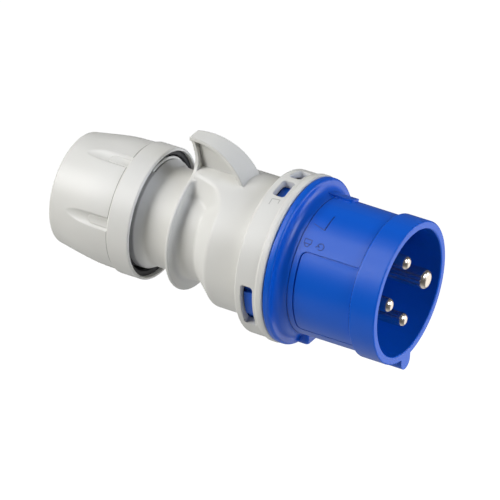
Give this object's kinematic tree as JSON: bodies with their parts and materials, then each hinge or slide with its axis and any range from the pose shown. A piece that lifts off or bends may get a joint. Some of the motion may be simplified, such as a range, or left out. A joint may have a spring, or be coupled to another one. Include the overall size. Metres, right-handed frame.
{
  "type": "industrial pin and sleeve plug",
  "caption": "Straight industrial pin and sleeve plug with a keyed blue collar, round contact pins, a light grey housing with a finger fin and a cable gland nut.",
  "frame": {"origin": "centre of the collar's rim face, on the plug's axis", "axes": "+X along the plug's axis out of the collar, the way it is pushed into its socket, +Z towards the finger fin"},
  "size_m": [0.1303, 0.0586, 0.0643],
  "materials": {
    "blue_plastic": "fine satin moulded plastic",
    "light_grey_plastic": "fine satin moulded plastic",
    "nickel_plated_pin": "nickel plated, polished",
    "zinc_plated_screw": "zinc plated",
    "white_nylon": "natural nylon",
    "black_rubber": "matt rubber",
    "dark_liner": "dark grey sealing rubber"
  },
  "bodies": {
    "collar": {"contact_carrier": "blue_plastic", "phase_pin_1": "nickel_plated_pin", "phase_pin_2": "nickel_plated_pin", "phase_pin_3": "nickel_plated_pin", "earth_pin": "nickel_plated_pin", "terminal_screw_1": "zinc_plated_screw", "terminal_screw_2": "zinc_plated_screw", "terminal_screw_3": "zinc_plated_screw", "terminal_screw_4": "zinc_plated_screw", "pin_retainer": "white_nylon", "retainer_screw_1": "zinc_plated_screw", "retainer_screw_2": "zinc_plated_screw"},
    "housing": {"housing": "light_grey_plastic", "body_gasket": "black_rubber", "clamping_cage": "white_nylon", "cable_seal": "black_rubber"},
    "slip_ring": {"slip_ring": "white_nylon"},
    "gland_nut": {"gland_nut": "light_grey_plastic", "mouth_liner": "dark_liner"}
  },
  "joints": [
    {"name": "housing_turn", "type": "hinge", "parent": "collar", "child": "housing", "pos_m": [0, 0, 0], "axis": [1, 0, 0], "range_deg": [0, 28]},
    {"name": "slip_ring_slide", "type": "slide", "parent": "housing", "child": "slip_ring", "axis": [1, 0, 0], "range_m": [-0.009, 0.004]},
    {"name": "nut_turn", "type": "hinge", "parent": "slip_ring", "child": "gland_nut", "pos_m": [0, 0, 0], "axis": [1, 0, 0], "range_deg": [-1080.1, 480.1]}
  ],
  "couplings": [
    {"joint": "nut_turn", "follows": "slip_ring_slide", "rad_per_m": 2094.4}
  ]
}
